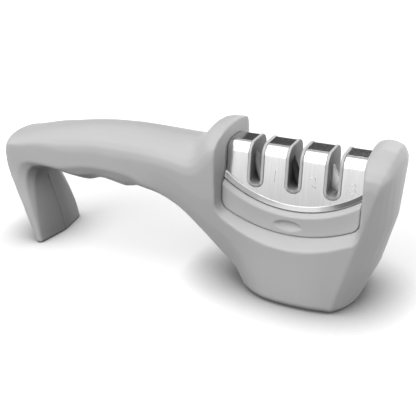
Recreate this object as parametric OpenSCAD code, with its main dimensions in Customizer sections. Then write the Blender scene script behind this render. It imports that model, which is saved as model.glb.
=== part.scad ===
// Hand-held knife sharpener with a lift-out cartridge of three crossed sharpening pairs.
// X runs from the leg to the nose, Y from front to rear, Z up. The origin is the middle of the footprint.

/* [Housing] */
// Height of the tops of the two uprights above the table
body_h = 80; // [70:1:90]
// From the outer side of the leg to the left rim of the cradle
handle_l = 123.8; // [110:0.2:140]
// Length of the cradle from rim to rim
cradle_l = 69.4; // [66:0.2:76]
// From the right rim of the cradle to the tip of the nose
nose_l = 12.8; // [11:0.2:16]
// Width of the handle
handle_w = 32.4; // [30:0.2:36]
// Width of the leg at the table
foot_w = 38.6; // [36:0.2:42]
// Width of the head at the cradle rim
head_w = 45; // [43:0.2:50]
// Width of the head at the table
base_w = 51.6; // [48:0.2:56]
// Wall of the moulded shells
wall = 2.4; // [1.8:0.1:2.8]
// Round of the long lower edges
edge_r = 2.2; // [1.5:0.1:2.6]

/* [Cradle] */
// Width of the pocket that takes the cartridge
pocket_w = 32.4; // [31:0.2:34]
// How far the rim flares out beside the pocket, on each side
flare_side = 1.4; // [1:0.1:2]
// How far the rim flares out below the pocket
flare_drop = 2.7; // [2:0.1:3.2]
// Height of the pocket's lowest point above the table
pocket_z = 32.3; // [31:0.1:34]
// Radius of the pocket's lower arc
pocket_r = 65.7; // [62:0.1:70]
// Round of the pocket's lower corners
pocket_corner_r = 6; // [4:0.5:8]

/* [Cartridge] */
// Gap between the cartridge and the pocket
lift_gap = 0.3; // [0.2:0.05:0.5]
// Depth of the ledge's chamfer beside the steel cover
ledge_drop = 1.5; // [1:0.1:2]
// Width of the ledge beside the steel cover
ledge_w = 2.4; // [2:0.1:2.8]
// Height of the seat's top above the pocket's lowest point, in the middle
seat_h = 11.1; // [10.5:0.1:12]
// Height of the seat's floor under the core above the pocket's lowest point
seat_floor_h = 8.2; // [7.8:0.1:8.6]
// Length of one tongue below the seat
tongue_l = 9; // [7:0.5:10]
// Width of one tongue
tongue_w = 14; // [10:0.5:16]
// How far the tongues reach below the pocket's lowest point
tongue_h = 10.3; // [8:0.1:14]
// Distance between the two tongues
tongue_pitch = 40; // [36:0.5:42]

/* [Steel cover] */
// Height of the cover's top above the pocket's lowest point
cover_h = 39.7; // [38:0.1:41]
// Thickness of the sheet
sheet = 0.6; // [0.5:0.05:0.8]
// Width of the flat top
cover_flat_w = 8.6; // [8:0.1:9.2]
// Outer radius of the bend
bend_r = 5.6; // [5:0.1:6]
// Lean of the cover's sides
side_lean = 4.8; // [3:0.1:5.5]
// Height of the rolled lip
lip_h = 2.4; // [2:0.1:2.8]
// How far the lip stands out
lip_out = 1.6; // [1.2:0.1:1.8]

/* [Slots] */
// Distance between slots
slot_pitch = 18.4; // [17.8:0.1:18.8]
// Clear width of a slot
slot_w = 4.9; // [4.5:0.1:5.2]
// Wall of a slot liner
liner_wall = 1.55; // [1.4:0.05:1.7]
// Height of the centre of the slot's round bottom above the pocket's lowest point
slot_h = 23.2; // [22.5:0.1:24]
// How far the liners stand out of the steel
liner_proud = 0.35; // [0.2:0.05:0.5]
// Gap between parts that slip together
fit = 0.08; // [0.05:0.01:0.1]

/* [Rods and blades] */
// Diameter of a sharpening rod
rod_d = 4; // [3.4:0.1:4.2]
// Length of a rod below the crossing
rod_low_l = 8.8; // [8:0.1:9]
// Gap between the rods' upper ends and the sheet
rod_top_gap = 4.2; // [2:0.1:5]
// Lean of a rod from upright
rod_lean = 22; // [18:1:24]
// How far below the centre of the slot's round bottom the rods' axes cross
rod_cross_drop = 0.3; // [0:0.1:1.2]
// Thickness of a carbide blade
blade_t = 1.8; // [1.5:0.1:2.2]
// Length of a carbide blade below the notch
blade_low_l = 9; // [8:0.1:9.5]
// Gap between the blades' upper ends and the sheet
blade_top_gap = 1.4; // [1:0.1:3]
// Width of a carbide blade
blade_w = 7; // [6:0.1:7.2]
// Lean of a blade from upright
blade_lean = 29; // [25:1:32]
// Height of the notch between the blades above the centre of the slot's round bottom
notch_rise = 4.9; // [4.4:0.1:6]
// Gap between the crossed pairs
cross_gap = 0.4; // [0.3:0.05:0.6]

/* [Pads and screws] */
// How far the pads hold the housing off the table
pad_proud = 0.5; // [0.4:0.1:1]
// Depth of the pads' recesses
pad_sunk = 1.2; // [1:0.1:1.6]
// Border of the housing around a pad
pad_border = 3.4; // [3:0.1:4.5]
// Shank diameter of the seat and core screws
screw_d = 2.2; // [2:0.1:2.4]
// Head diameter of the seat and core screws
screw_head_d = 4.4; // [4:0.1:4.8]
// Head height of the screws
screw_head_h = 1.6; // [1.4:0.1:2]
// Diameter of the shells' locating pins
pin_d = 3.6; // [3:0.1:4]
// Diameter of the bosses that carry the pins
boss_d = 8; // [7:0.2:9]

/* [Hidden] */
$fn = 64;

body_l = handle_l + cradle_l + nose_l;
rim_x = handle_l - body_l / 2;
mid_x = rim_x + cradle_l / 2;
base_z = pad_proud;
over = body_h / 10;
arc_z = pocket_z + pocket_r;
seat_top_r = pocket_r - seat_h;
seat_floor_z = pocket_z + seat_floor_h;
tongue_z = pocket_z - tongue_h;
cover_z = pocket_z + cover_h;
slot_z = pocket_z + slot_h;
rod_cross_z = slot_z - rod_cross_drop;
notch_z = slot_z + notch_rise;
rod_l = rod_low_l + (cover_z - sheet - rod_top_gap - rod_cross_z - rod_d / 2 * sin(rod_lean)) / cos(rod_lean);
blade_l = blade_low_l + (cover_z - sheet - blade_top_gap - notch_z) / cos(blade_lean);
handle_half = handle_w / 2;
foot_half = foot_w / 2;
head_half = head_w / 2;
base_half = base_w / 2;

// The housing is one loft of sections, from the foot up the leg, along the handle, down the neck and
// through the head. Each section has a top point, a low point and a half-width at both.
// Columns: top x, top z, low x, low z, top width, low width, sag of the middle below the lower edges.
// A negative x is a share of the handle's length before the rim, a positive one of the cradle's
// length behind it. A width of -1 is the foot, 0 the handle, 1 the head and 2 its base. The rest are
// shares of the height.
section_shares = [
    [-0.868, 0.000, -0.814, 0.000, -1.00, -1.00, 0.036],
    [-0.894, 0.119, -0.828, 0.112, -0.97, -0.96, 0.036],
    [-0.924, 0.250, -0.850, 0.231, -0.90, -0.84, 0.036],
    [-0.957, 0.380, -0.874, 0.344, -0.76, -0.50, 0.034],
    [-0.990, 0.512, -0.885, 0.412, -0.52, -0.15, 0.030],
    [-1.001, 0.618, -0.878, 0.462, -0.34, 0.00, 0.026],
    [-1.008, 0.710, -0.856, 0.500, -0.16, 0.00, 0.025],
    [-0.973, 0.731, -0.815, 0.521, -0.07, 0.00, 0.028],
    [-0.904, 0.759, -0.762, 0.524, 0.00, 0.00, 0.034],
    [-0.824, 0.792, -0.721, 0.503, 0.00, 0.00, 0.046],
    [-0.742, 0.816, -0.673, 0.472, 0.00, 0.00, 0.082],
    [-0.652, 0.841, -0.620, 0.467, 0.00, 0.00, 0.106],
    [-0.572, 0.857, -0.564, 0.496, 0.00, 0.00, 0.087],
    [-0.495, 0.867, -0.503, 0.481, 0.00, 0.00, 0.104],
    [-0.427, 0.873, -0.447, 0.467, 0.02, 0.00, 0.112],
    [-0.370, 0.872, -0.394, 0.487, 0.05, 0.00, 0.080],
    [-0.313, 0.869, -0.342, 0.504, 0.12, 0.00, 0.034],
    [-0.245, 0.863, -0.261, 0.485, 0.28, 0.02, 0.027],
    [-0.188, 0.860, -0.172, 0.425, 0.42, 0.05, 0.025],
    [-0.137, 0.862, -0.091, 0.333, 0.56, 0.08, 0.022],
    [-0.102, 0.889, -0.023, 0.246, 0.72, 0.10, 0.018],
    [-0.068, 0.955, 0.060, 0.170, 0.86, 0.10, 0.014],
    [-0.045, 0.983, 0.141, 0.106, 0.95, 0.10, 0.010],
    [-0.014, 0.986, 0.184, 0.048, 0.98, 0.12, 0.005],
    [0.012, 0.980, 0.213, 0.000, 1.00, 0.15, 0.000],
    [0.100, 0.920, 0.280, 0.000, 1.00, 0.72, 0.000],
    [0.300, 0.920, 0.390, 0.000, 1.00, 1.60, 0.000],
    [0.550, 0.920, 0.550, 0.000, 1.00, 2.00, 0.000],
    [0.800, 0.920, 0.710, 0.000, 1.00, 1.90, 0.000],
    [0.930, 0.940, 0.790, 0.000, 1.00, 1.60, 0.000],
    [0.987, 0.958, 0.815, 0.000, 1.00, 1.50, 0.000],
    [1.031, 0.973, 0.835, 0.000, 1.00, 1.45, 0.000],
    [1.087, 0.971, 0.845, 0.000, 1.00, 1.42, 0.000],
    [1.138, 0.956, 0.851, 0.000, 1.00, 1.40, 0.000]];

// How the section's form changes from one row to another, by the row's number
crown_shares = [[0, 0.10], [3, 0.03], [5, 0.05], [6, 0.20], [7, 0.27], [8, 0.285], [10, 0.38],
    [16, 0.42], [19, 0.32], [21, 0.23], [24, 0.11], [28, 0.145], [31, 0.175], [33, 0.175]];
crown_power_shares = [[0, 2.6], [5, 2.25], [7, 1.95], [10, 2.1], [18, 2.1], [22, 2.2], [30, 2.0], [33, 2.1]];
sag_power_shares = [[0, 1], [4, 1.2], [8, 2], [10, 3], [16, 3], [22, 3]];
edge_shares = [[0, 0.55], [1, 0.8], [2, 1.5], [3, 2.4], [4, 2.9], [5, 3.0], [6, 2.6], [8, 1], [33, 1.1]];
side_power_shares = [[0, 1], [15, 1], [18, 2], [24, 3.2], [26, 2], [28, 1.5], [33, 1.3]];

// The nose closes the head with a face that is round in plan and bowed in side view
nose_width_shares = [0.95, 0.85, 0.71, 0.53, 0.32, 0.12];
nose_round_share = 1.4;
nose_tip_share = [1, 0.908];
nose_foot_share = 0.975;
nose_bow_share = 0.39;
tip_crown_share = 0.053;

row_steps = 3;
crown_steps = 6;
side_share = [0.35, 0.7];
sag_steps_share = [0.8, 0.5, 0.25, 0];
corner_share = 0.29;

function along(u) = rim_x + (u < 0 ? u * handle_l : u * cradle_l);
function grown(a, b, share) = a + (b - a) * share;
function half_width(c) =
    c < 0 ? grown(handle_half, foot_half, -c)
    : c < 1 ? grown(handle_half, head_half, c)
    : grown(head_half, base_half, c - 1);

// A row in millimetres: top x, top z, low x, low z, top half-width, low half-width, sag, bow,
// crown, crown power, sag power, edge radius, side power
function key_row(k) =
    let (s = section_shares[k])
    [along(s[0]), s[1] * body_h, along(s[2]), s[3] * body_h, half_width(s[4]), half_width(s[5]),
    s[6] * body_h];

function spline(a, b, c, d, t) =
    (2 * b + (c - a) * t + (2 * a - 5 * b + 4 * c - d) * t * t
    + (3 * b - a - 3 * c + d) * t * t * t) / 2;

function form(n, depth, bow) = [bow,
    lookup(n, crown_shares) * depth,
    lookup(n, crown_power_shares),
    lookup(n, sag_power_shares),
    lookup(n, edge_shares) * edge_r,
    lookup(n, side_power_shares)];

function depth(r) = norm([r[0] - r[2], r[1] - r[3]]);
function on_base(r) = [r[0], max(r[1], base_z), r[2], max(r[3], base_z), r[4], r[5], max(r[6], 0)];

last_key = len(section_shares) - 1;
keys = [for (k = [0:last_key]) key_row(k)];

function spline_row(n) =
    let (k = min(floor(n), last_key - 1))
    on_base(spline(keys[max(k - 1, 0)], keys[k], keys[k + 1], keys[min(k + 2, last_key)], n - k));

function body_row(n) =
    let (r = spline_row(n))
    concat(r, form(n, depth(r), 0));

// Rows of the nose: the corner row slides forward on a round plan while it narrows
corner_row = body_row(last_key);
tip = [rim_x + cradle_l + nose_l * nose_tip_share[0], nose_tip_share[1] * body_h];
tip_foot_x = rim_x + cradle_l * nose_foot_share;
nose_r = head_half * nose_round_share;
function nose_reach(w) =
    let (y = w * head_half, flat = sqrt(nose_r * nose_r - head_half * head_half))
    (sqrt(nose_r * nose_r - y * y) - flat) / (nose_r - flat);
function nose_row(w) =
    let (u = nose_reach(w), c = corner_row)
    [grown(c[0], tip[0], u), grown(c[1], tip[1], u), grown(c[2], tip_foot_x, u), base_z,
    c[4] * w, c[5] * w, 0, nose_bow_share * nose_l * u,
    grown(c[8], tip_crown_share * body_h, u), c[9], c[10], c[11] * w, c[12]];

// Half of one section, from the middle of the top round the side to the middle underneath, as
// points [distance down the section, distance from the middle plane]
function half_section(r) =
    let (d = depth(r), low = d - r[6] - r[11])
    concat(
        [for (k = [0:crown_steps]) let (a = 90 * k / crown_steps)
            [r[8] * (1 - pow(max(cos(a), 0), 2 / r[9])), r[4] * pow(sin(a), 2 / r[9])]],
        [for (v = side_share)
            [grown(r[8], low, v), grown(r[4], r[5], pow(v, r[12]))]],
        [[low, r[5]],
        [d - r[6] - corner_share * r[11], r[5] - corner_share * r[11]]],
        [for (v = sag_steps_share) let (y = v > corner_share * 2 ? r[5] - r[11] : r[5] * v)
            [d - r[6] * pow(y / r[5], r[10]), y]]);

function placed(r, p, side) =
    let (v = p[0] / depth(r))
    [grown(r[0], r[2], v) + 4 * r[7] * v * (1 - v), side * p[1], grown(r[1], r[3], v)];

function flat_quads(a, b, c, d) = [[a, c, b], [a, d, c]];
function joined(lists) = [for (l = lists) each l];

outer_rows = concat(
    [for (i = [0:last_key * row_steps]) body_row(i / row_steps)],
    [for (w = nose_width_shares) nose_row(w)]);

// One half of the outer form: strips between sections, with a lap past the middle plane that is cut
// off. The nose ends on its last section, which a ladder of faces joins to the lap.
lap = wall;
module half_loft(rows) {
    n = len(rows);
    rings = [for (r = rows)
        let (half = half_section(r), end = half[len(half) - 1])
        [for (p = concat([[half[0][0], -lap]], half, [[end[0], -lap]])) placed(r, p, -1)]];
    m = len(rings[0]);
    last = rings[n - 1];
    flat = m - len(sag_steps_share) - 1;
    closing = [for (j = [2:flat - 1]) [last[j][0], lap, last[j][2]]];
    points = concat(joined(rings), closing);
    top = (n - 1) * m;
    edge = concat([top], [for (j = [2:flat - 1]) n * m + j - 2]);
    strips = [for (i = [0:n - 2]) for (j = [0:m - 2])
        each flat_quads(i * m + j, i * m + j + 1, (i + 1) * m + j + 1, (i + 1) * m + j)];
    middle = [for (i = [0:n - 3])
        each flat_quads(i * m, (i + 1) * m, (i + 1) * m + m - 1, i * m + m - 1)];
    end_fan = [for (k = [0:flat - 3]) [top - m, edge[k + 1], edge[k]]];
    end_tail = [[top - m, n * m - 1, edge[flat - 2]], [top - m, top - 1, n * m - 1]];
    end_strip = [for (j = [1:flat - 2]) each flat_quads(top + j, top + j + 1, edge[j], edge[j - 1])];
    end_foot = [for (j = [flat - 1:m - 2]) [top + j, edge[flat - 2], top + j + 1]];
    start = [for (j = [1:m - 2]) [0, j, j + 1]];
    polyhedron(points = points,
        faces = concat(strips, middle, end_fan, end_tail, end_strip, end_foot, start));
}

// The hollow inside both halves: the same sections, one wall further in
floor_z = base_z + pad_sunk + wall;
hollow_from = 6;
hollow_nose = 3;
function inner_row(r) =
    let (d = depth(r), ux = (r[2] - r[0]) / d, uz = (r[3] - r[1]) / d)
    [r[0] + ux * wall, r[1] + uz * wall, r[2] - ux * wall, max(r[3] - uz * wall, floor_z),
    r[4] - wall, r[5] - wall, r[6], r[7], r[8] - wall / 2, r[9], r[10], r[11], r[12]];
inner_rows = [for (r = concat([for (k = [hollow_from:last_key]) body_row(k)],
    [for (k = [0:hollow_nose - 1]) nose_row(nose_width_shares[k])])) inner_row(r)];

module hollow() {
    rings = [for (r = inner_rows)
        let (half = [for (p = half_section(r)) if (p[1] > fit) p], h = len(half))
        concat([for (p = half) placed(r, p, -1)], [for (j = [0:h - 1]) placed(r, half[h - 1 - j], 1)])];
    n = len(rings);
    m = len(rings[0]);
    strips = [for (i = [0:n - 2]) for (j = [0:m - 1])
        let (k = (j + 1) % m)
        each flat_quads(i * m + j, i * m + k, (i + 1) * m + k, (i + 1) * m + j)];
    end = (n - 1) * m;
    caps = [for (j = [1:m - 2]) each [[0, j, j + 1], [end, end + j + 1, end + j]]];
    polyhedron(points = joined(rings), faces = concat(strips, caps));
}

// Outline of the cradle seen from the front: upright sides, round corners, one long arc
arc_steps = 14;
corner_steps = 5;
pocket_half = cradle_l / 2 - flare_side;
function arc_points(x, z, r, a, b, steps) =
    [for (i = [0:steps]) let (t = grown(a, b, i / steps)) [x + r * cos(t), z + r * sin(t)]];
function cradle_points(half, r, corner) =
    let (reach = half - corner, beta = asin(reach / (r - corner)),
        z = arc_z - sqrt((r - corner) * (r - corner) - reach * reach), top = body_h + over)
    concat([[half, top]],
        arc_points(reach, z, corner, 0, beta - 90, corner_steps),
        arc_points(0, arc_z, r, beta - 90, -beta - 90, arc_steps),
        arc_points(-reach, z, corner, -beta - 90, -180, corner_steps),
        [[-half, top]]);

// Shapes drawn in side view run through along Y, shapes drawn in end view along X
module through_y(y0, y1) {
    translate([mid_x, y1, 0]) rotate([90, 0, 0]) linear_extrude(y1 - y0) children();
}
module through_x(half) {
    translate([mid_x - half, 0, 0]) rotate([90, 0, 90]) linear_extrude(2 * half) children();
}
module arc_disc(r, half) {
    through_y(-half, half) translate([0, arc_z]) circle(r, $fn = 180);
}

pocket_y = pocket_w / 2;
flare_reach = (base_half + over - pocket_y) / (head_half - pocket_y);
module pocket() {
    through_y(-pocket_y, pocket_y) polygon(cradle_points(pocket_half, pocket_r, pocket_corner_r));
}
module flare() {
    hull() {
        through_y(-pocket_y, -pocket_y + fit)
            polygon(cradle_points(pocket_half, pocket_r, pocket_corner_r));
        through_y(-base_half - over, -base_half - over + fit)
            polygon(cradle_points(pocket_half + flare_side * flare_reach,
                pocket_r + flare_drop * flare_reach,
                pocket_corner_r + flare_side * flare_reach));
    }
}
module pocket_block() {
    through_y(-base_half, base_half)
        polygon(cradle_points(cradle_l / 2 + wall, pocket_r + flare_drop + wall,
            pocket_corner_r + flare_side + wall));
}

// Wells that take the tongues of the cartridge
module tongue(gap, top) {
    for (side = [-1, 1])
        translate([mid_x + side * tongue_pitch / 2 - tongue_l / 2 - gap, -tongue_w / 2 - gap, tongue_z])
            cube([tongue_l + 2 * gap, tongue_w + 2 * gap, top - tongue_z]);
}
well_top = pocket_z + over;
module wells() {
    tongue(lift_gap, well_top);
}
module well_blocks() {
    translate([0, 0, -wall]) tongue(lift_gap + wall, well_top);
}

// Footprints of the head and of the leg, set in by a border
base_rows = [for (r = outer_rows) if (r[0] > rim_x && r[3] < base_z + fit) r];
foot_row = outer_rows[0];
foot_border_share = 0.27;
foot_border = foot_border_share * pad_border;
module both_sides(half_points) {
    n = len(half_points);
    polygon(concat(half_points, [for (i = [0:n - 1]) [half_points[n - 1 - i][0], -half_points[n - 1 - i][1]]]));
}
module base_print(border) {
    offset(delta = -border) both_sides([for (r = base_rows) [r[2], r[5]]]);
}
module foot_print(border) {
    offset(delta = -border)
        both_sides([for (p = half_section(foot_row)) if (p[1] > fit)
            [grown(foot_row[0], foot_row[2], p[0] / depth(foot_row)), p[1]]]);
}
pad_h = pad_proud + pad_sunk;

// Locating pins of the two halves, at places given as shares, as in the sections
pin_shares = [[-0.80, 0.64], [-0.50, 0.69], [-0.19, 0.66], [0.30, 0.17], [0.78, 0.17]];
pin_l = pin_d;
module bosses() {
    for (p = pin_shares)
        translate([along(p[0]), 0, p[1] * body_h]) rotate([90, 0, 0])
            cylinder(d = boss_d, h = base_half);
}
module pins(extra) {
    for (p = pin_shares)
        translate([along(p[0]), pin_l + extra, p[1] * body_h]) rotate([90, 0, 0])
            cylinder(d = pin_d + 2 * extra, h = 2 * pin_l + 2 * extra);
}

// Front half of the housing, with its inside: pocket, wells, bosses and recesses for the pads
module half_shell() {
    difference() {
        intersection() {
            half_loft(outer_rows);
            translate([-body_l, -base_w, 0]) cube([2 * body_l, base_w, body_h + over]);
        }
        difference() {
            hollow();
            pocket_block();
            well_blocks();
            bosses();
        }
        pocket();
        flare();
        wells();
        translate([0, 0, -over]) linear_extrude(over + pad_h) base_print(pad_border - fit);
        translate([0, 0, -over]) linear_extrude(over + pad_h) foot_print(foot_border - fit);
    }
}
housing_colour = [0.70, 0.70, 0.70];
module front_shell() {
    color(housing_colour) union() {
        half_shell();
        pins(0);
    }
}
module rear_shell() {
    color(housing_colour) difference() {
        mirror([0, 1, 0]) half_shell();
        pins(fit);
    }
}

rubber_colour = [0.16, 0.16, 0.17];
module base_pad() {
    color(rubber_colour) linear_extrude(pad_h) base_print(pad_border);
}
module foot_pad() {
    color(rubber_colour) linear_extrude(pad_h) foot_print(foot_border);
}

// Seat of the cartridge: a crescent that fills the pocket, with a chamfered ledge round the steel
// cover, a floor for the core, finger dimples and two tongues
seat_y = pocket_y - lift_gap;
seat_half = pocket_half - lift_gap;
core_foot_wall = 1.3;
core_foot_half = slot_pitch + rod_low_l * sin(rod_lean) + rod_d / 2 + core_foot_wall;
core_arc_gap = 0.4;
dimple_l = 14;
dimple_deep = 1.7;
dimple_h = 5;
dimple_rise = 5;
dimple_z = pocket_z + dimple_rise;
seat_screw_x = 11;
seat_screw_y = 5;
seat_screw_seat = 3;
seat_screw_l = 8;
lip_end_z = arc_z - sqrt(pow(seat_top_r - fit - lip_h, 2) - seat_half * seat_half);
function side_y(z) =
    cover_flat_w / 2 + bend_r * cos(side_lean)
    + (cover_z - bend_r + bend_r * sin(side_lean) - z) * tan(side_lean);
core_y = side_y(lip_end_z) - sheet - fit;

module at_seat_screws() {
    for (sx = [-1, 1]) for (sy = [-1, 1])
        translate([mid_x + sx * seat_screw_x, sy * seat_screw_y, 0]) children();
}
module dimple() {
    r = (dimple_l * dimple_l / 4 + dimple_deep * dimple_deep) / (2 * dimple_deep);
    offset_y = (dimple_h * dimple_h / 4 - dimple_deep * dimple_deep) / (2 * dimple_deep);
    reach = offset_y + dimple_deep;
    translate([mid_x, -seat_y - offset_y, dimple_z]) rotate([0, 90, 0])
        rotate_extrude() intersection() {
            translate([reach - r, 0]) circle(r, $fn = 120);
            translate([0, -r]) square([2 * r, 2 * r]);
        }
}
module seat_ledge() {
    chamfer_rise = ledge_drop / ledge_w;
    translate([mid_x, -seat_y + ledge_w, arc_z]) rotate([90, 0, 0])
        cylinder(r1 = seat_top_r, r2 = seat_top_r + (ledge_w + fit) * chamfer_rise, h = ledge_w + fit,
            $fn = 180);
}
module cartridge_seat() {
    color(housing_colour) difference() {
        union() {
            through_y(-seat_y, seat_y)
                polygon(cradle_points(seat_half, pocket_r - lift_gap, pocket_corner_r - lift_gap));
            tongue(0, seat_floor_z - wall);
        }
        arc_disc(seat_top_r, seat_y + over);
        seat_ledge();
        mirror([0, 1, 0]) seat_ledge();
        translate([mid_x - core_foot_half - fit, -core_y - fit, seat_floor_z])
            cube([2 * core_foot_half + 2 * fit, 2 * core_y + 2 * fit, body_h]);
        dimple();
        mirror([0, 1, 0]) dimple();
        at_seat_screws() cylinder(d = screw_d + 2 * fit, h = seat_floor_z + over);
        at_seat_screws() cylinder(d = screw_head_d + 2 * fit, h = seat_floor_z - seat_screw_seat);
    }
}
module seat_screws() {
    color("silver") at_seat_screws() {
        translate([0, 0, seat_floor_z - seat_screw_seat - screw_head_h])
            cylinder(d = screw_head_d, h = screw_head_h);
        translate([0, 0, seat_floor_z - seat_screw_seat]) cylinder(d = screw_d, h = seat_screw_l);
    }
}

// Steel cover: a bent sheet seen in end view, cut to an arc below, with a lip that rolls outward
module cover_block(inset, half) {
    x = cover_flat_w / 2;
    z = cover_z - bend_r;
    r = bend_r - inset;
    tx = x + r * cos(side_lean);
    tz = z + r * sin(side_lean);
    low = seat_floor_z;
    wide = tx + (tz - low) * tan(side_lean);
    through_x(half) polygon([[-x, cover_z - inset], [x, cover_z - inset], [tx, tz], [wide, low],
        [-wide, low], [-tx, tz]]);
    for (side = [-1, 1]) through_x(half) translate([side * x, z]) circle(r);
}
slots_x = [-slot_pitch, 0, slot_pitch];
module slot_cut(x, half) {
    through_y(-base_half, base_half) translate([x, slot_z]) circle(half);
    through_y(-base_half, base_half) translate([x - half, slot_z]) square([2 * half, body_h - slot_z]);
}
liner_half = slot_w / 2 + liner_wall;
cover_r = seat_top_r - fit;
module lip() {
    root = side_y(arc_z - cover_r + lip_h);
    edge_y = root + lip_out;
    translate([mid_x, 0, arc_z]) rotate([90, 0, 0]) rotate_extrude($fn = 180)
        for (side = [-1, 1]) polygon([[cover_r - lip_h, side * (core_y + fit)],
            [cover_r - lip_h, side * root],
            [cover_r - sheet, side * edge_y],
            [cover_r, side * edge_y],
            [cover_r, side * (core_y + fit)]]);
}
module steel_cover() {
    color("silver") difference() {
        union() {
            intersection() {
                difference() {
                    cover_block(0, seat_half);
                    cover_block(sheet, seat_half + over);
                    translate([mid_x - seat_half - over, -base_half, seat_floor_z - over])
                        cube([2 * (seat_half + over), base_w, over + fit]);
                }
                arc_disc(cover_r, seat_y);
            }
            intersection() {
                lip();
                translate([mid_x - seat_half, -seat_y, seat_floor_z])
                    cube([2 * seat_half, 2 * seat_y, cover_z - bend_r - seat_floor_z]);
            }
        }
        for (x = slots_x) slot_cut(x, liner_half + fit);
    }
}

// Sharpening pairs: the left one of a pair leans left and lies in the front core
rod_y = (rod_d + cross_gap) / 2;
module rod(x, side, extra) {
    translate([mid_x + x, side * rod_y, rod_cross_z]) rotate([0, side * rod_lean, 0])
        translate([0, 0, -rod_low_l - extra])
            cylinder(d = rod_d + 2 * extra, h = rod_l + 2 * extra);
}
module rod_groove(x, side) {
    rod(x, side, fit);
    translate([mid_x + x, 0, rod_cross_z]) rotate([0, side * rod_lean, 0])
        translate([-rod_d / 2 - fit, side > 0 ? 0 : -rod_y, -rod_low_l - fit])
            cube([rod_d + 2 * fit, rod_y, rod_l + 2 * fit]);
}
module blade_place(side) {
    translate([mid_x + slot_pitch, 0, notch_z]) mirror([side > 0 ? 1 : 0, 0, 0])
        mirror([0, side > 0 ? 1 : 0, 0]) rotate([0, -blade_lean, 0]) children();
}
module blade_box(side, extra, to_middle) {
    blade_place(side)
        translate([-blade_w - extra, -cross_gap / 2 - blade_t - extra, -blade_low_l - extra])
            cube([blade_w + 2 * extra, blade_t + 2 * extra + to_middle, blade_l + 2 * extra]);
}
blade_screw_d = 1.6;
blade_screw_head_d = 3;
blade_screw_head_h = 0.9;
blade_screw_l = 5;
blade_screw_x = 5.2;
blade_screw_z = blade_l / 2 - blade_low_l;
module blade_screw(side, extra) {
    blade_place(side) translate([-blade_screw_x, -cross_gap / 2 + extra, blade_screw_z]) rotate([90, 0, 0]) {
        cylinder(d = blade_screw_head_d + 2 * extra, h = blade_screw_head_h + extra);
        cylinder(d = blade_screw_d + 2 * extra, h = blade_screw_head_h + blade_screw_l + 2 * extra);
    }
}

module pair_cuts(side) {
    for (x = [slots_x[0], slots_x[1]]) rod_groove(x, side);
    blade_box(side, fit, cross_gap / 2);
    blade_screw(side, fit);
}

// Core: two halves that clamp rods and blades between them
core_screw_rise = 7;
core_screw_z = seat_floor_z + core_screw_rise;
core_screw_tip = 6;
module at_core_screws() {
    for (side = [-1, 1]) translate([mid_x + side * slot_pitch / 2, 0, core_screw_z]) children();
}
module core_screw(extra) {
    translate([0, core_y + extra, 0]) rotate([90, 0, 0])
        cylinder(d = screw_head_d + 2 * extra, h = screw_head_h + extra);
    translate([0, core_y, 0]) rotate([90, 0, 0])
        cylinder(d = screw_d + 2 * extra, h = core_y + core_screw_tip + extra);
}
module core_half(side) {
    difference() {
        intersection() {
            cover_block(sheet + fit, seat_half);
            translate([mid_x - seat_half, side < 0 ? -core_y : 0, 0]) cube([2 * seat_half, core_y, body_h]);
            union() {
                arc_disc(seat_top_r - core_arc_gap, base_half);
                translate([mid_x - core_foot_half, -core_y, seat_floor_z])
                    cube([2 * core_foot_half, 2 * core_y, arc_z - cover_r]);
            }
        }
        for (x = slots_x) slot_cut(x, liner_half + fit);
        pair_cuts(side);
        at_core_screws() core_screw(fit);
        at_seat_screws() cylinder(d = screw_d + 2 * fit, h = seat_floor_z - seat_screw_seat + seat_screw_l + fit);
    }
}
core_colour = [0.25, 0.25, 0.26];
module core_front() {
    color(core_colour) core_half(-1);
}
module core_rear() {
    color(core_colour) core_half(1);
}
module core_screws() {
    color("silver") at_core_screws() core_screw(0);
}

// Slot liners: grey channels that stand a little out of the steel
module slot_liner(k) {
    color(housing_colour) difference() {
        intersection() {
            cover_block(-liner_proud, seat_half);
            slot_cut(slots_x[k], liner_half);
        }
        slot_cut(slots_x[k], slot_w / 2);
        for (side = [-1, 1]) {
            if (k < 2) rod(slots_x[k], side, fit);
            if (k == 2) blade_box(side, fit, 0);
            if (k == 2) blade_screw(side, fit);
        }
    }
}
module slot_liner_1() {
    slot_liner(0);
}
module slot_liner_2() {
    slot_liner(1);
}
module slot_liner_3() {
    slot_liner(2);
}

module ceramic_rod_left() {
    color("white") rod(slots_x[0], -1, 0);
}
module ceramic_rod_right() {
    color("white") rod(slots_x[0], 1, 0);
}
module diamond_rod_left() {
    color("dimgray") rod(slots_x[1], -1, 0);
}
module diamond_rod_right() {
    color("dimgray") rod(slots_x[1], 1, 0);
}
module carbide_blade(side) {
    color("silver") difference() {
        blade_box(side, 0, 0);
        blade_screw(side, fit);
    }
}
module carbide_blade_left() {
    carbide_blade(-1);
}
module carbide_blade_right() {
    carbide_blade(1);
}
module blade_screws() {
    color("silver") {
        blade_screw(-1, 0);
        blade_screw(1, 0);
    }
}

front_shell();
rear_shell();
base_pad();
foot_pad();
cartridge_seat();
core_front();
core_rear();
steel_cover();
slot_liner_1();
slot_liner_2();
slot_liner_3();
ceramic_rod_left();
ceramic_rod_right();
diamond_rod_left();
diamond_rod_right();
carbide_blade_left();
carbide_blade_right();
blade_screws();
core_screws();
seat_screws();
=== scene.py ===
import math

import bmesh
import bpy
import numpy as np
from mathutils import Matrix, Vector, bvhtree


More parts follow.
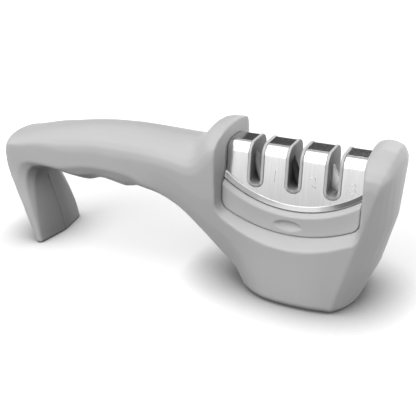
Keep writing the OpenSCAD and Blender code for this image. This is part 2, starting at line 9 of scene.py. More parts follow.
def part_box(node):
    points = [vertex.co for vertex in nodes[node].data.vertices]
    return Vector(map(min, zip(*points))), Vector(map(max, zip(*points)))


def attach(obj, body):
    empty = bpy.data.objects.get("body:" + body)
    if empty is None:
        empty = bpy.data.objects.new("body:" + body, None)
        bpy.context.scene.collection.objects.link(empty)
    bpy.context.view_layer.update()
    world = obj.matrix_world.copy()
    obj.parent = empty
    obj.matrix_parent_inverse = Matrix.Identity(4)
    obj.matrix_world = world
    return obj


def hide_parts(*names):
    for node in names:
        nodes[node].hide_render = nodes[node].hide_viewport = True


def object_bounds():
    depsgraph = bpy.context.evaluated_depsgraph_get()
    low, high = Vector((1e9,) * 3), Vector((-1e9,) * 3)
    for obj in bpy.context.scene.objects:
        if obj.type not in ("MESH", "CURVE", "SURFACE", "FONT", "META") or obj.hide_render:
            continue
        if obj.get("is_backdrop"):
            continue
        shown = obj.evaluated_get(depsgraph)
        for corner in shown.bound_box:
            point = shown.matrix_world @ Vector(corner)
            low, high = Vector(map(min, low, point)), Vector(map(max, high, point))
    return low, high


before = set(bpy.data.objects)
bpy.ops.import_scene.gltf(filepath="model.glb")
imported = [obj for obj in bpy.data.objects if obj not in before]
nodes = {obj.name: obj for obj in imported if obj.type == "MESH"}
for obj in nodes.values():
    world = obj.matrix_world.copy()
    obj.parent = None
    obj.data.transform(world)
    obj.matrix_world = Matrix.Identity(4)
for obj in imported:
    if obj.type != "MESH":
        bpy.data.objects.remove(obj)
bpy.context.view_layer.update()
bpy.ops.object.select_all(action="DESELECT")
MM = 0.001
scene = bpy.context.scene
scene.view_settings.view_transform = "Standard"

# ---- The view
# The sharpener is seen from the front right and from above, near enough that its nose looms.
# The lens follows from the photograph's frame, a square, and the fitted perspective.
VIEW_AZIMUTH = math.radians(24.61)
VIEW_ELEVATION = math.radians(24.79)
VIEW_DISTANCE = 384.69 * MM
VIEW_TARGET = Vector((8.04, 0, 30.55)) * MM
LENS = 65.97
view_back = Vector((
    math.sin(VIEW_AZIMUTH) * math.cos(VIEW_ELEVATION),
    -math.cos(VIEW_AZIMUTH) * math.cos(VIEW_ELEVATION),
    math.sin(VIEW_ELEVATION)))
bpy.ops.object.camera_add(location=VIEW_TARGET + view_back * VIEW_DISTANCE)
camera = bpy.context.object
camera.name = "camera"
camera.rotation_mode = "QUATERNION"
camera.rotation_quaternion = (-view_back).to_track_quat("-Z", "Y")
camera.data.lens = LENS
camera.data.sensor_width = 36
camera.data.clip_start = 0.01
camera.data.clip_end = 50
scene.camera = camera

# ---- The table
# A white sheet that runs out of sight, so the sharpener stands in white with a soft shadow.
# The camera and the gloss see it white, whiter with distance; to the light it is nearly black,
# which keeps the undersides dark. A close shade lies where something stands on it.
FLOOR_SEEN = 0.66
FLOOR_BOUNCE = 0.06
FLOOR_LIFT = (0.42, 1.0)
FLOOR_LIFT_REACH = (0.12, 0.40)
CONTACT_REACH = 0.028
CONTACT_OPEN = (0.35, 1)
CONTACT_SHADE = (0.15, 1)
FLOOR_SIZE = 16


def add_node(tree, kind, inputs=None, **settings):
    """A new shader node of this kind, with these settings and these values on its inputs."""
    node = tree.nodes.new("ShaderNode" + kind)
    for name, value in settings.items():
        setattr(node, name, value)
    for socket, value in (inputs or {}).items():
        node.inputs[socket].default_value = value
    return node


def add_range(tree, start, end=(0, 1), **settings):
    """A Map Range node from the span start to the span end."""
    spans = {"From Min": start[0], "From Max": start[1], "To Min": end[0], "To Max": end[1]}
    return add_node(tree, "MapRange", spans, **settings)


def new_material(name):
    """An empty node material with a Principled shader wired to its output."""
    material = bpy.data.materials.new(name)
    material.use_nodes = True
    tree = material.node_tree
    tree.nodes.clear()
    output = add_node(tree, "OutputMaterial")
    shader = add_node(tree, "BsdfPrincipled")
    tree.links.new(shader.outputs[0], output.inputs["Surface"])
    return material, tree, shader


def seen_directly(tree):
    """A socket that is 1 for camera, glossy and transmission rays, and 0 for the light's own."""
    path = add_node(tree, "LightPath")
    total = path.outputs["Is Camera Ray"]
    for ray in ("Is Glossy Ray", "Is Transmission Ray"):
        either = add_node(tree, "Math", operation="MAXIMUM")
        tree.links.new(total, either.inputs[0])
        tree.links.new(path.outputs[ray], either.inputs[1])
        total = either.outputs[0]
    return total


bpy.ops.mesh.primitive_plane_add(size=FLOOR_SIZE)
floor = bpy.context.object
floor.name = "floor"
floor_white, tree, shader = new_material("table_white")
shader.inputs["Roughness"].default_value = 0.9
shader.inputs["Specular IOR Level"].default_value = 0.1
seen = seen_directly(tree)
tone = add_range(tree, (0, 1), (FLOOR_BOUNCE, FLOOR_SEEN))
place = add_node(tree, "TexCoord")
away = add_node(tree, "VectorMath", operation="LENGTH")
far = add_range(tree, FLOOR_LIFT_REACH, FLOOR_LIFT, interpolation_type="SMOOTHSTEP")
strength = add_node(tree, "Math", operation="MULTIPLY")
near = add_node(tree, "AmbientOcclusion", {"Distance": CONTACT_REACH}, samples=8)
contact = add_range(tree, CONTACT_OPEN, CONTACT_SHADE)
darkened = add_node(tree, "Math", operation="MULTIPLY")
toned = add_node(tree, "Math", operation="MULTIPLY")
tree.links.new(near.outputs["AO"], contact.inputs["Value"])
tree.links.new(contact.outputs["Result"], darkened.inputs[1])
tree.links.new(contact.outputs["Result"], toned.inputs[1])
tree.links.new(place.outputs["Object"], away.inputs[0])
tree.links.new(away.outputs["Value"], far.inputs["Value"])
tree.links.new(far.outputs["Result"], darkened.inputs[0])
tree.links.new(darkened.outputs[0], strength.inputs[1])
lift = add_node(tree, "Emission")
add = add_node(tree, "AddShader")
tree.links.new(seen, tone.inputs["Value"])
tree.links.new(tone.outputs["Result"], toned.inputs[0])
tree.links.new(toned.outputs[0], shader.inputs["Base Color"])
tree.links.new(seen, strength.inputs[0])
tree.links.new(strength.outputs[0], lift.inputs["Strength"])
tree.links.new(shader.outputs[0], add.inputs[0])
tree.links.new(lift.outputs[0], add.inputs[1])
tree.links.new(add.outputs[0], tree.nodes["Material Output"].inputs["Surface"])
floor.data.materials.append(floor_white)
floor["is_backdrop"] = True

# ---- The studio light
# A broad soft box overhead, leaning to the front, and another at the front left give the main
# light. A small low one at the right and one behind lift the nose and the back. The room round
# them is dim, but the camera and the steel see it as white.
ROOM_LIGHT = 0.02
world = bpy.data.worlds.new("room")
scene.world = world
world.use_nodes = True
room = world.node_tree.nodes["Background"]
room.inputs["Color"].default_value = (1, 1, 1, 1)
room_level = add_range(world.node_tree, (0, 1), (ROOM_LIGHT, 1))
world.node_tree.links.new(seen_directly(world.node_tree), room_level.inputs["Value"])
world.node_tree.links.new(room_level.outputs["Result"], room.inputs["Strength"])


def soft_box(name, place, aim, size, power):
    """A rectangular area lamp at place, turned to aim, all in metres."""
    bpy.ops.object.light_add(type="AREA", location=place)
    lamp = bpy.context.object
    lamp.name = name
    lamp.data.shape = "RECTANGLE"
    lamp.data.size, lamp.data.size_y = size
    lamp.data.energy = power
    lamp.rotation_mode = "QUATERNION"
    lamp.rotation_quaternion = (Vector(aim) - Vector(place)).to_track_quat("-Z", "Y")


for name, place, aim, size, power in (
        ("overhead_box", (0, -0.26, 0.72), (0.02, 0, 0.04), (0.8, 1.3), 6.4),
        ("front_box", (-0.36, -0.76, 0.52), (0, 0, 0.04), (0.8, 1.0), 6.2),
        ("right_box", (0.85, 0.02, 0.15), (0.10, 0, 0.05), (0.24, 0.2), 2.8),
        ("rear_box", (0.05, 0.95, 0.45), (0, 0, 0.04), (0.7, 0.4), 3.2)):
    soft_box(name, place, aim, size, power)

# A dark card stands behind, above the view, where the flat top of the steel mirrors it.
CARD_DISTANCE = 550 * MM
CARD_HALF_W = 450 * MM
CARD_LOW, CARD_HIGH = 140 * MM, 420 * MM
CARD_TONE = 0.08
bpy.ops.mesh.primitive_plane_add(size=1)
card = bpy.context.object
card.name = "dark_card"
card_away = Vector((-view_back.x, -view_back.y, 0)).normalized()
card_across = Vector((card_away.y, -card_away.x, 0))
card_corners = ((-1, CARD_LOW), (1, CARD_LOW), (-1, CARD_HIGH), (1, CARD_HIGH))
for vertex, (side, z) in zip(card.data.vertices, card_corners):
    across = card_across * side * CARD_HALF_W
    vertex.co = card_away * CARD_DISTANCE + across + Vector((0, 0, z))
card_black, tree, shader = new_material("card_black")
shader.inputs["Base Color"].default_value = (CARD_TONE, CARD_TONE, CARD_TONE, 1)
shader.inputs["Roughness"].default_value = 1
shader.inputs["Specular IOR Level"].default_value = 0
card.data.materials.append(card_black)
card.visible_diffuse = False
card.visible_shadow = False
card.visible_camera = False
card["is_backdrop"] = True

# ---- The housing
# Two halves of satin grey plastic, moulded like a clamshell round the handle, leg and head.
# Their skin is the CAD body's, drawn in finer quads and rubbed smooth as a polished mould gives.
SKIN_STEP = 0.5 * MM
SEAM_GAP = 0.04 * MM
FIRST_ROUNDS = 4
SKIN_ROUNDS = 30
WELD_REACH = 0.002 * MM


def select_only(piece):
    """Makes this piece the only selected one, and the active one."""
    bpy.ops.object.select_all(action="DESELECT")
    piece.select_set(True)
    bpy.context.view_layer.objects.active = piece


def copy_of(name, *cad):
    """One object with the welded meshes of these CAD nodes, at the same place."""
    bpy.ops.object.select_all(action="DESELECT")
    for part in cad:
        piece = bpy.data.objects.new(name, nodes[part].data.copy())
        scene.collection.objects.link(piece)
        piece.select_set(True)
        bpy.context.view_layer.objects.active = piece
    if len(cad) > 1:
        bpy.ops.object.join()
    piece = bpy.context.object
    piece.name = name
    piece.data.name = name
    piece.data.materials.clear()
    bpy.ops.object.mode_set(mode="EDIT")
    bpy.ops.mesh.select_all(action="SELECT")
    bpy.ops.mesh.remove_doubles(threshold=WELD_REACH)
    bpy.ops.object.mode_set(mode="OBJECT")
    return piece


def modify(piece, kind, **settings):
    """Adds one modifier, sets it and applies it."""
    select_only(piece)
    modifier = piece.modifiers.new(kind.lower(), kind)
    for key, value in settings.items():
        setattr(modifier, key, value)
    bpy.ops.object.modifier_apply(modifier=modifier.name)


def keep_largest(piece):
    """Deletes every loose shell but the one with most faces."""
    mesh = bmesh.new()
    mesh.from_mesh(piece.data)
    left = set(mesh.faces)
    best = []
    while left:
        group, frontier = [], [left.pop()]
        while frontier:
            face = frontier.pop()
            group.append(face)
            for edge in face.edges:
                for other in edge.link_faces:
                    if other in left:
                        left.remove(other)
                        frontier.append(other)
        if len(group) > len(best):
            best = group
    keep = set(best)
    bmesh.ops.delete(mesh, geom=[f for f in mesh.faces if f not in keep], context="FACES")
    mesh.to_mesh(piece.data)
    mesh.free()


def rub_smooth(piece, rounds, group=""):
    """Smooths the piece without wearing down its rounded edges: what one pass takes off is put on
    first, and the pass is run again."""
    count = len(piece.data.vertices) * 3
    before = np.empty(count, np.float32)
    after = np.empty(count, np.float32)
    piece.data.vertices.foreach_get("co", before)
    modify(piece, "SMOOTH", factor=0.5, iterations=rounds, vertex_group=group)
    piece.data.vertices.foreach_get("co", after)
    piece.data.vertices.foreach_set("co", 2 * before - after)
    modify(piece, "SMOOTH", factor=0.5, iterations=rounds, vertex_group=group)


skin = copy_of("housing_skin", "front_shell", "rear_shell")
modify(skin, "REMESH", mode="VOXEL", voxel_size=SKIN_STEP, use_smooth_shade=True)
keep_largest(skin)

seat_low, seat_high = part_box("cartridge_seat")
POCKET_EDGE = 0.9 * MM
POCKET_FADE = 1.6 * MM
FOOT_EDGE = 0.8 * MM
FOOT_FADE = 2.2 * MM


def open_share(co):
    """0 at the pocket's walls and by the table, which stay crisp, and 1 on the open skin."""
    away = max(abs(co.y) - seat_high.y, seat_low.x - co.x, co.x - seat_high.x)
    off_pocket = min(max((away - POCKET_EDGE) / POCKET_FADE, 0), 1)
    return off_pocket * min(max((co.z - FOOT_EDGE) / FOOT_FADE, 0), 1)


open_skin = skin.vertex_groups.new(name="open_skin")
for vertex in skin.data.vertices:
    open_skin.add([vertex.index], open_share(vertex.co), "REPLACE")
modify(skin, "SMOOTH", factor=0.5, iterations=FIRST_ROUNDS)
rub_smooth(skin, SKIN_ROUNDS, "open_skin")

# The cartridge's end fits an arched recess in each cheek of the cradle. It shows as a fine line.
GAP_LINE = 0.6 * MM
GAP_DEPTH = 1.4 * MM
RECESS_SIDE = 1.2 * MM
RECESS_TOP = 1.8 * MM
ARCH_HALF = 11.9 * MM
ARCH_LOW = 44 * MM
ARCH_LEAN = 2.1 * MM
ARCH_ROUND = 6.5 * MM
RING_OVER = 0.3 * MM
CORE_OVER = 5 * MM
cover_low, cover_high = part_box("steel_cover")


def arch_block(name, grow, x_low, x_high):
    """A block with the cartridge's end view, rounded at its two upper edges."""
    bpy.ops.object.select_all(action="DESELECT")
    half = ARCH_HALF + grow
    high = cover_high.z + grow + RECESS_TOP - RECESS_SIDE
    bpy.ops.mesh.primitive_cube_add(size=1)
    block = bpy.context.object
    block.name = name
    for vertex in block.data.vertices:
        lean = 0 if vertex.co.z < 0 else ARCH_LEAN
        vertex.co = Vector((
            x_low if vertex.co.x < 0 else x_high,
            (half - lean) * (1 if vertex.co.y > 0 else -1),
            ARCH_LOW if vertex.co.z < 0 else high))
    bpy.ops.object.mode_set(mode="EDIT")
    bpy.ops.mesh.select_all(action="DESELECT")
    bpy.ops.object.mode_set(mode="OBJECT")
    for line in block.data.edges:
        a, b = (block.data.vertices[i].co for i in line.vertices)
        line.select = a.z > high - MM and b.z > high - MM and abs(a.y - b.y) < MM
    bpy.ops.object.mode_set(mode="EDIT")
    bpy.ops.mesh.select_mode(type="EDGE")
    bpy.ops.mesh.bevel(offset=ARCH_ROUND + grow, offset_type="OFFSET", segments=12)
    bpy.ops.object.mode_set(mode="OBJECT")
    return block


def cut(piece, tool):
    """Takes the tool away from the piece and deletes the tool."""
    modify(piece, "BOOLEAN", operation="DIFFERENCE", object=tool, solver="EXACT")
    bpy.data.objects.remove(tool)


ring_end = GAP_DEPTH + RING_OVER
ring = arch_block("gap_line", RECESS_SIDE, seat_low.x - ring_end, seat_high.x + ring_end)
core = arch_block(
    "gap_core", RECESS_SIDE - GAP_LINE, seat_low.x - CORE_OVER, seat_high.x + CORE_OVER)
cut(ring, core)
cut(skin, ring)

# The halves' seam shows as a fine groove on the leg's inner face, found by rays from the finger
# arch. It narrows from its mouth, just off the face, to its bottom.
GROOVE_OUT, GROOVE_IN = 0.4 * MM, 1.0 * MM
GROOVE_MOUTH, GROOVE_BOTTOM = 0.264 * MM, 0.11 * MM
GROOVE_LOW, GROOVE_HIGH = 1.5 * MM, 33 * MM
FINGER_ARCH_X = -45 * MM
surface = bvhtree.BVHTree.FromObject(skin, bpy.context.evaluated_depsgraph_get())
bpy.ops.object.select_all(action="DESELECT")
bpy.ops.mesh.primitive_cube_add(size=1)
groove = bpy.context.object
groove.name = "groove"
bpy.ops.object.mode_set(mode="EDIT")
bpy.ops.mesh.subdivide(number_cuts=15)
bpy.ops.object.mode_set(mode="OBJECT")
for vertex in groove.data.vertices:
    z = GROOVE_LOW + (vertex.co.z + 0.5) * (GROOVE_HIGH - GROOVE_LOW)
    wall = surface.ray_cast(Vector((FINGER_ARCH_X, 0, z)), Vector((-1, 0, 0)))[0]
    sunk = 0.5 - vertex.co.x
    half_width = GROOVE_MOUTH + sunk * (GROOVE_BOTTOM - GROOVE_MOUTH)
    x = wall.x + GROOVE_OUT - sunk * (GROOVE_OUT + GROOVE_IN)
    vertex.co = Vector((x, vertex.co.y * 2 * half_width, z))
cut(skin, groove)


def half_of(name, cad, sign):
    """One half of the skin, cut at the middle plane and closed."""
    half = skin.copy()
    half.data = skin.data.copy()
    half.name = name
    half.data.name = name
    scene.collection.objects.link(half)
    select_only(half)
    bpy.ops.object.mode_set(mode="EDIT")
    bpy.ops.mesh.select_all(action="SELECT")
    bpy.ops.mesh.bisect(
        plane_co=(0, sign * SEAM_GAP, 0), plane_no=(0, sign, 0), clear_inner=True,
        threshold=0.0001 * MM)
    bpy.ops.mesh.fill(use_beauty=False)
    bpy.ops.object.mode_set(mode="OBJECT")
    bpy.ops.object.shade_smooth_by_angle(angle=math.radians(60))
    half.vertex_groups.clear()
    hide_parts(cad)
    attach(half, "housing")
    return half


front_half = half_of("housing_front", "front_shell", -1)
rear_half = half_of("housing_rear", "rear_shell", 1)
bpy.data.objects.remove(skin)

# Satin plastic: an even mid grey, a fine spark-eroded grain, and a breath of unevenness in the
# gloss. The Mix nodes' colour sockets go by number, because their names stand for several kinds.
HOUSING_GREY = (0.50, 0.50, 0.505, 1)
TONE_SPREAD = (0.97, 1.03)
GRAIN_HEIGHT = 0.02 * MM
COLOUR_A, COLOUR_B, COLOUR_OUT = 6, 7, 2


def node_group(name, inputs, outputs):
    """A shader node group with these named sockets, as {name: kind}."""
    group = bpy.data.node_groups.new(name, "ShaderNodeTree")
    for label, kind in inputs.items():
        group.interface.new_socket(label, in_out="INPUT", socket_type="NodeSocket" + kind)
    for label, kind in outputs.items():
        group.interface.new_socket(label, in_out="OUTPUT", socket_type="NodeSocket" + kind)
    return group, group.nodes.new("NodeGroupInput"), group.nodes.new("NodeGroupOutput")


grain, g_in, g_out = node_group(
    "moulded_grain",
    {"Color": "Color", "Grain Size": "Float", "Grain Depth": "Float", "Gloss": "Float",
     "Variation": "Float"},
    {"Color": "Color", "Roughness": "Float", "Normal": "Vector"})
coordinate = add_node(grain, "TexCoord")
fine = add_node(grain, "TexNoise", {"Detail": 4, "Roughness": 0.6})
broad = add_node(grain, "TexNoise", {"Scale": 38, "Detail": 3})
bump = add_node(grain, "Bump", {"Distance": GRAIN_HEIGHT})
shade = add_range(grain, (0, 1), TONE_SPREAD)
tint = add_node(grain, "Mix", {"Factor": 1}, data_type="RGBA", blend_type="MULTIPLY")
gloss_change = add_node(grain, "Math", operation="MULTIPLY_ADD")
centred = add_node(grain, "Math", {1: 0.5}, operation="SUBTRACT")
link = grain.links.new
link(coordinate.outputs["Object"], fine.inputs["Vector"])
link(coordinate.outputs["Object"], broad.inputs["Vector"])
link(g_in.outputs["Grain Size"], fine.inputs["Scale"])
link(fine.outputs["Fac"], bump.inputs["Height"])
link(g_in.outputs["Grain Depth"], bump.inputs["Strength"])
link(broad.outputs["Fac"], shade.inputs["Value"])
link(g_in.outputs["Color"], tint.inputs[COLOUR_A])
link(shade.outputs["Result"], tint.inputs[COLOUR_B])
link(broad.outputs["Fac"], centred.inputs[0])
link(centred.outputs[0], gloss_change.inputs[0])
link(g_in.outputs["Variation"], gloss_change.inputs[1])
link(g_in.outputs["Gloss"], gloss_change.inputs[2])
link(tint.outputs[COLOUR_OUT], g_out.inputs["Color"])
link(gloss_change.outputs[0], g_out.inputs["Roughness"])
link(bump.outputs["Normal"], g_out.inputs["Normal"])


def plastic(name, colour, size, depth, gloss, variation):
    """A moulded plastic or rubber with the grain group at these values."""
    material, tree, shader = new_material(name)
    group = add_node(
        tree, "Group",
        {"Color": colour, "Grain Size": size, "Grain Depth": depth, "Gloss": gloss,
         "Variation": variation},
        node_tree=grain)
    for socket, target in (
            ("Color", "Base Color"), ("Roughness", "Roughness"), ("Normal", "Normal")):
        tree.links.new(group.outputs[socket], shader.inputs[target])
    shader.inputs["Specular IOR Level"].default_value = 0.25
    return material


def dress(piece, material):
    """Gives a piece one material in all its slots."""
    if not piece.material_slots:
        piece.data.materials.append(material)
    for place in piece.material_slots:
        place.link = "OBJECT"
        place.material = material


housing_plastic = plastic(
    "housing_plastic", HOUSING_GREY, size=2600, depth=0.25, gloss=0.42, variation=0.08)
for piece in (front_half, rear_half):
    dress(piece, housing_plastic)

# ---- The pads
# Two pads of soft black rubber keep the sharpener from sliding. They are moulded flat and glued
# into recesses under the head and the leg.
PAD_BLACK = (0.035, 0.035, 0.037, 1)
pad_rubber = plastic("pad_rubber", PAD_BLACK, size=1400, depth=0.5, gloss=0.75, variation=0.1)
for name in ("base_pad", "foot_pad"):
    dress(nodes[name], pad_rubber)

# ---- The cartridge's seat
# The crescent below the steel, moulded in the housing's plastic with a finger dimple on each side.
# Two tongues under it stand in wells of the housing, and screws from below hold the core to it.
SEAT_STEP = 0.38 * MM
SEAT_ROUNDS = 5
seat = copy_of("seat_block", "cartridge_seat")
modify(seat, "REMESH", mode="VOXEL", voxel_size=SEAT_STEP, use_smooth_shade=True)
rub_smooth(seat, SEAT_ROUNDS)
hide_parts("cartridge_seat")
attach(seat, "cartridge")
dress(seat, housing_plastic)

# ---- The core
# Two halves of dark moulded plastic under the cover hold the rods and blades between them, clamped
# by two screws. Only their slots' depths show.
CORE_BLACK = (0.045, 0.045, 0.048, 1)
core_plastic = plastic("core_plastic", CORE_BLACK, size=1800, depth=0.3, gloss=0.5, variation=0.1)
for name in ("core_front", "core_rear"):
    dress(nodes[name], core_plastic)

# ---- The steel cover
# Stainless sheet, bent over the core, brushed straight down its sides and along its flat top.
# Its cut edges are eased so that they catch a line of light.
FLAT_ANGLE = math.radians(0.4)


def machined(name, cad, body, ease, facet=30, corner=40):
    """The CAD node's own shape in its place, with every edge sharper than corner eased, and smooth
    where it bends by less than facet."""
    piece = copy_of(name, cad)
    bpy.ops.object.mode_set(mode="EDIT")
    bpy.ops.mesh.select_all(action="SELECT")
    bpy.ops.mesh.dissolve_limited(angle_limit=FLAT_ANGLE)
    bpy.ops.object.mode_set(mode="OBJECT")
    modify(piece, "BEVEL", width=ease, segments=2, limit_method="ANGLE",
           angle_limit=math.radians(corner), use_clamp_overlap=False)
    select_only(piece)
    bpy.ops.object.shade_smooth_by_angle(angle=math.radians(facet))
    modify(piece, "WEIGHTED_NORMAL", mode="FACE_AREA", weight=100, keep_sharp=True)
    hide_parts(cad)
    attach(piece, body)
    return piece


STROKE_SPAN = (0.3, 0.7)
DARK_STROKE, LIGHT_STROKE = 0.90, 1.08
brush, b_in, b_out = node_group(
    "brushed_lines",
    {"Stretch": "Vector", "Dull": "Float", "Bright": "Float", "Tone": "Float"},
    {"Color": "Color", "Roughness": "Float", "Height": "Float"})
coordinate = add_node(brush, "TexCoord")
stretched = add_node(brush, "VectorMath", operation="MULTIPLY")
strokes = add_node(brush, "TexNoise", {"Scale": 1, "Detail": 4, "Roughness": 0.65})
rough = add_range(brush, STROKE_SPAN)
tone_low = add_node(brush, "Math", {1: DARK_STROKE}, operation="MULTIPLY")
tone_high = add_node(brush, "Math", {1: LIGHT_STROKE}, operation="MULTIPLY")
grey = add_range(brush, STROKE_SPAN)
link = brush.links.new
link(coordinate.outputs["Object"], stretched.inputs[0])
link(b_in.outputs["Stretch"], stretched.inputs[1])
link(stretched.outputs["Vector"], strokes.inputs["Vector"])
link(strokes.outputs["Fac"], rough.inputs["Value"])
link(b_in.outputs["Bright"], rough.inputs["To Min"])
link(b_in.outputs["Dull"], rough.inputs["To Max"])
link(b_in.outputs["Tone"], tone_low.inputs[0])
link(b_in.outputs["Tone"], tone_high.inputs[0])
link(strokes.outputs["Fac"], grey.inputs["Value"])
link(tone_low.outputs[0], grey.inputs["To Min"])
link(tone_high.outputs[0], grey.inputs["To Max"])
link(grey.outputs["Result"], b_out.inputs["Color"])
link(rough.outputs["Result"], b_out.inputs["Roughness"])
link(strokes.outputs["Fac"], b_out.inputs["Height"])


def strokes_of(tree, stretch, dull, bright, tone):
    """The brushed-lines group in a material, at these values."""
    return add_node(
        tree, "Group",
        {"Stretch": stretch, "Dull": dull, "Bright": bright, "Tone": tone}, node_tree=brush)


def relief_of(tree, shader, height, depth):
    """Feeds a height to the shader's normal as a bump this deep."""
    bump = add_node(tree, "Bump", {"Strength": 0.4, "Distance": depth})
    tree.links.new(height, bump.inputs["Height"])
    tree.links.new(bump.outputs["Normal"], shader.inputs["Normal"])


STEEL_TONE = 0.455
STEEL_RELIEF = 0.006 * MM
TOP_FACING = (0.985, 0.998)
ARC_CENTRE_Z = 98 * MM
# Painted shade: the lip, the cover's lowest band, is painted much darker than the rest of the
# steel.
LIP_HEIGHT = 2.4 * MM
LIP_FADE = 0.2 * MM
LIP_PAINTED_SHADE = 0.32
LIP_RADIUS = ARC_CENTRE_Z - cover_low.z - LIP_HEIGHT
SHEET_EASE = 0.10 * MM
VALUE_A, VALUE_OUT = 2, 0
steel, tree, shader = new_material("brushed_steel")
down_side = strokes_of(tree, (4200, 60, 60), dull=0.17, bright=0.10, tone=STEEL_TONE)
along_top = strokes_of(tree, (60, 2600, 60), dull=0.24, bright=0.12, tone=STEEL_TONE)
geometry = add_node(tree, "NewGeometry")
apart = add_node(tree, "SeparateXYZ")
is_top = add_range(tree, TOP_FACING)
tree.links.new(geometry.outputs["Normal"], apart.inputs["Vector"])
tree.links.new(apart.outputs["Z"], is_top.inputs["Value"])
mixed = {}
for socket, kind, first, result in (
        ("Color", "RGBA", COLOUR_A, COLOUR_OUT), ("Roughness", "FLOAT", VALUE_A, VALUE_OUT),
        ("Height", "FLOAT", VALUE_A, VALUE_OUT)):
    mix = add_node(tree, "Mix", data_type=kind)
    tree.links.new(is_top.outputs["Result"], mix.inputs["Factor"])
    tree.links.new(down_side.outputs[socket], mix.inputs[first])
    tree.links.new(along_top.outputs[socket], mix.inputs[first + 1])
    mixed[socket] = mix.outputs[result]
from_arc = add_node(
    tree, "VectorMath",
    {1: ((cover_low.x + cover_high.x) / 2, 0, ARC_CENTRE_Z)}, operation="SUBTRACT")
flat = add_node(tree, "VectorMath", {1: (1, 0, 1)}, operation="MULTIPLY")
reach = add_node(tree, "VectorMath", operation="LENGTH")
lip = add_range(tree, (LIP_RADIUS, LIP_RADIUS + LIP_FADE), (1, LIP_PAINTED_SHADE))
place = add_node(tree, "TexCoord")
lip_tone = add_node(tree, "VectorMath", operation="MULTIPLY")
tree.links.new(place.outputs["Object"], from_arc.inputs[0])
tree.links.new(from_arc.outputs["Vector"], flat.inputs[0])
tree.links.new(flat.outputs["Vector"], reach.inputs[0])
tree.links.new(reach.outputs["Value"], lip.inputs["Value"])
tree.links.new(mixed["Color"], lip_tone.inputs[0])
tree.links.new(lip.outputs["Result"], lip_tone.inputs[1])
tree.links.new(lip_tone.outputs["Vector"], shader.inputs["Base Color"])
tree.links.new(mixed["Roughness"], shader.inputs["Roughness"])
relief_of(tree, shader, mixed["Height"], STEEL_RELIEF)
shader.inputs["Metallic"].default_value = 1
cover = machined(
    "steel_sheet", "steel_cover", "cartridge", SHEET_EASE, corner=25)
dress(cover, steel)

# ---- The slot liners
# Light grey channels pressed through the cover; a knife's edge is drawn along them. Their proud
# rims are rounded, and their insides are painted darker, a painted shade deepest down the slot.
SLOT_HALF = 2.45 * MM
RIM_START = (SLOT_HALF + 0.02 * MM, SLOT_HALF + 0.35 * MM)
SLOT_DEPTH_Y = (5.5 * MM, 10.2 * MM)
SLOT_DEPTH_Z = (65 * MM, 71.6 * MM)
# Painted shade inside the slots, deep down and near the mouth, and the rims' own grey.
DEEP_SLOT_SHADE = (0.10, 0.10, 0.10, 1)
MOUTH_SLOT_SHADE = (0.30, 0.30, 0.30, 1)
LINER_RIM_GREY = (0.50, 0.50, 0.50, 1)
RIM_ROUND = 0.45 * MM
liner_plastic, tree, shader = new_material("liner_plastic")
group = add_node(
    tree, "Group",
    {"Grain Size": 2600, "Grain Depth": 0.2, "Gloss": 0.4, "Variation": 0.06}, node_tree=grain)
coordinate = add_node(tree, "TexCoord")
apart = add_node(tree, "SeparateXYZ")
tree.links.new(coordinate.outputs["Object"], apart.inputs["Vector"])
nearest = None
liner_boxes = [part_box("slot_liner_%d" % number) for number in (1, 2, 3)]
for low, high in liner_boxes:
    away = add_node(tree, "Math", {1: (low.x + high.x) / 2}, operation="SUBTRACT")
    size = add_node(tree, "Math", operation="ABSOLUTE")
    tree.links.new(apart.outputs["X"], away.inputs[0])
    tree.links.new(away.outputs[0], size.inputs[0])
    if nearest is None:
        nearest = size.outputs[0]
    else:
        least = add_node(tree, "Math", operation="MINIMUM")
        tree.links.new(nearest, least.inputs[0])
        tree.links.new(size.outputs[0], least.inputs[1])
        nearest = least.outputs[0]
inner = add_range(tree, RIM_START)
sideways = add_node(tree, "Math", operation="ABSOLUTE")
near_side = add_range(tree, SLOT_DEPTH_Y)
near_top = add_range(tree, SLOT_DEPTH_Z)
near_mouth = add_node(tree, "Math", operation="MAXIMUM")
# Painted shade: inside each slot the colour goes dark, darkest deep down and lighter at the mouth.
painted_slot_shade = add_node(tree, "Mix", {COLOUR_A: DEEP_SLOT_SHADE, COLOUR_B: MOUTH_SLOT_SHADE}, data_type="RGBA")
rim_or_painted_shade = add_node(tree, "Mix", {COLOUR_B: LINER_RIM_GREY}, data_type="RGBA")
tree.links.new(apart.outputs["Y"], sideways.inputs[0])
tree.links.new(sideways.outputs[0], near_side.inputs["Value"])
tree.links.new(apart.outputs["Z"], near_top.inputs["Value"])
tree.links.new(near_side.outputs["Result"], near_mouth.inputs[0])
tree.links.new(near_top.outputs["Result"], near_mouth.inputs[1])
tree.links.new(near_mouth.outputs[0], painted_slot_shade.inputs["Factor"])
tree.links.new(painted_slot_shade.outputs[COLOUR_OUT], rim_or_painted_shade.inputs[COLOUR_A])
tree.links.new(nearest, inner.inputs["Value"])
tree.links.new(inner.outputs["Result"], rim_or_painted_shade.inputs["Factor"])
tree.links.new(rim_or_painted_shade.outputs[COLOUR_OUT], group.inputs["Color"])
for socket, target in (("Color", "Base Color"), ("Roughness", "Roughness"), ("Normal", "Normal")):
    tree.links.new(group.outputs[socket], shader.inputs[target])
for number in (1, 2, 3):
    liner = machined(
        "liner_%d" % number, "slot_liner_%d" % number, "cartridge", RIM_ROUND,
        facet=50)
    dress(liner, liner_plastic)

# ---- Rods and blades
# Grey fired ceramic, dark diamond-coated steel, and ground carbide with a bright edge, crossed in
# pairs so that a knife's edge drops into their V.
CERAMIC_GREY = (0.42, 0.41, 0.40, 1)
GRIT_BLACK = (0.06, 0.06, 0.065, 1)
EDGE_EASE = 0.15 * MM


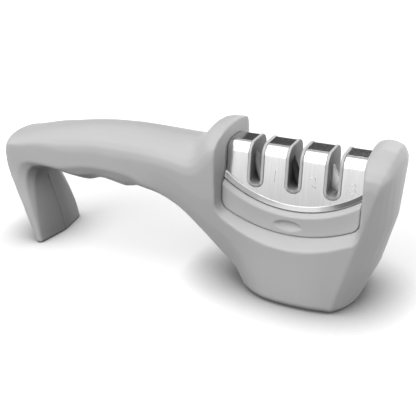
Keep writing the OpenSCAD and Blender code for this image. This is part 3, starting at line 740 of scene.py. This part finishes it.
def ground_metal(name, relief, stretch, dull, bright, tone):
    """A bare metal with the brushed-lines group at these values, its lines this deep."""
    metal, tree, shader = new_material(name)
    group = strokes_of(tree, stretch, dull, bright, tone)
    tree.links.new(group.outputs["Color"], shader.inputs["Base Color"])
    tree.links.new(group.outputs["Roughness"], shader.inputs["Roughness"])
    relief_of(tree, shader, group.outputs["Height"], relief)
    shader.inputs["Metallic"].default_value = 1
    return metal


ceramic = plastic("fired_ceramic", CERAMIC_GREY, size=1500, depth=0.15, gloss=0.5, variation=0.05)
diamond = plastic("diamond_grit", GRIT_BLACK, size=3200, depth=0.9, gloss=0.55, variation=0.2)
carbide = ground_metal(
    "ground_carbide", relief=0.008 * MM, stretch=(900, 900, 5200), dull=0.5, bright=0.35,
    tone=0.97)
for kind, slot, material in (
        ("ceramic_rod", "ceramic", ceramic), ("diamond_rod", "diamond_grit", diamond),
        ("carbide_blade", "carbide", carbide)):
    for side in ("left", "right"):
        cad = "%s_%s" % (kind, side)
        piece = machined("sharpening_" + cad, cad, "cartridge", EDGE_EASE)
        dress(piece, material)

# ---- The screws
# Zinc-plated screws: two on the carbide blades, two through the core's halves and four from below,
# from the seat into the core.
zinc = ground_metal(
    "zinc_plate", relief=0.004 * MM, stretch=(700, 700, 700), dull=0.40, bright=0.24, tone=0.60)
for name in ("blade_screws", "core_screws", "seat_screws"):
    dress(nodes[name], zinc)

# ---- The numerals
# Plain raised numbers, pressed out of the steel beside each slot, on its side towards the nose, say
# which slot comes first. They are on both faces of the cover.
NUMERAL_SIZE = 7.5 * MM
NUMERAL_Z = 58 * MM
NUMERAL_PROUD = 0.22 * MM
NUMERAL_SUNK = 0.25 * MM
NUMERAL_EASE = 0.05 * MM
SIDE_LEAN = math.radians(4.8)
WELL_OUTSIDE = 50 * MM
steel_side = bvhtree.BVHTree.FromObject(cover, bpy.context.evaluated_depsgraph_get())
slot_pitch = (liner_boxes[2][0].x - liner_boxes[0][0].x) / 2
for number, (low, high) in enumerate(liner_boxes, 1):
    for face, name in ((-1, "front"), (1, "rear")):
        bpy.ops.object.select_all(action="DESELECT")
        bpy.ops.object.text_add()
        numeral = bpy.context.object
        numeral.data.body = str(number)
        numeral.data.size = NUMERAL_SIZE
        numeral.data.align_x = "CENTER"
        numeral.data.align_y = "CENTER"
        numeral.data.extrude = (NUMERAL_PROUD + NUMERAL_SUNK) / 2
        numeral.data.bevel_depth = NUMERAL_EASE
        bpy.ops.object.convert(target="MESH")
        numeral.name = "numeral_%d_%s" % (number, name)
        x = (low.x + high.x) / 2 + slot_pitch / 2
        start = Vector((x, face * WELL_OUTSIDE, NUMERAL_Z))
        hit = steel_side.ray_cast(start, Vector((0, -face, 0)))[0]
        turn = Matrix.Rotation(0 if face < 0 else math.pi, 4, "Z")
        stand = Matrix.Rotation(math.pi / 2 - SIDE_LEAN, 4, "X")
        out = turn @ stand @ Vector((0, 0, 1))
        place = Matrix.Translation(hit + out * (NUMERAL_PROUD - NUMERAL_SUNK) / 2)
        numeral.data.transform(place @ turn @ stand)
        bpy.ops.object.mode_set(mode="EDIT")
        bpy.ops.mesh.select_all(action="SELECT")
        bpy.ops.mesh.remove_doubles(threshold=WELD_REACH)
        bpy.ops.object.mode_set(mode="OBJECT")
        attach(numeral, "cartridge")
        dress(numeral, steel)

low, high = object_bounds()
